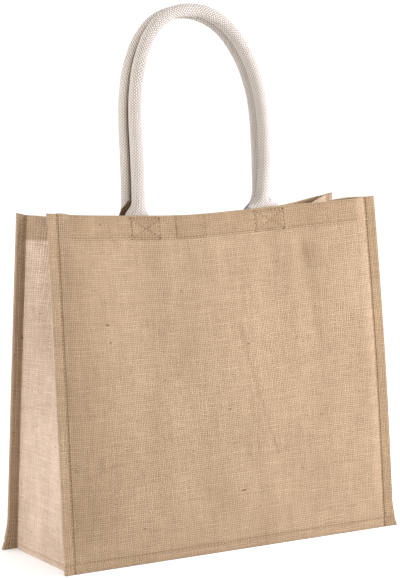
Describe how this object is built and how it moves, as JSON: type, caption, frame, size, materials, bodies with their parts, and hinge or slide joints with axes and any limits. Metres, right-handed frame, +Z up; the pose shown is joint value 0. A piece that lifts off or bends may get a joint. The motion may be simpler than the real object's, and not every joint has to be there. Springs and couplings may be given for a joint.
{
  "type": "tote bag",
  "caption": "Open-topped jute tote bag with folded side gussets, outward seams and padded cotton webbing handles standing up over its mouth.",
  "frame": {"origin": "centre of the base on the floor, under the middle of the bag over its seams", "axes": "+Z up, +X to the bag's right seen from the front, the front panel faces -Y"},
  "size_m": [0.431, 0.135, 0.5848],
  "materials": {
    "jute": "plain-woven natural jute, matt",
    "webbing": "unbleached cotton webbing, matt",
    "cord": "brown fibre cord, matt"
  },
  "bodies": {
    "root": {"front_panel": "jute", "back_panel": "jute", "left_gusset": "jute", "right_gusset": "jute", "base_panel": "jute", "front_handle": "webbing", "rear_handle": "webbing", "front_handle_core": "cord", "rear_handle_core": "cord"}
  },
  "joints": []
}
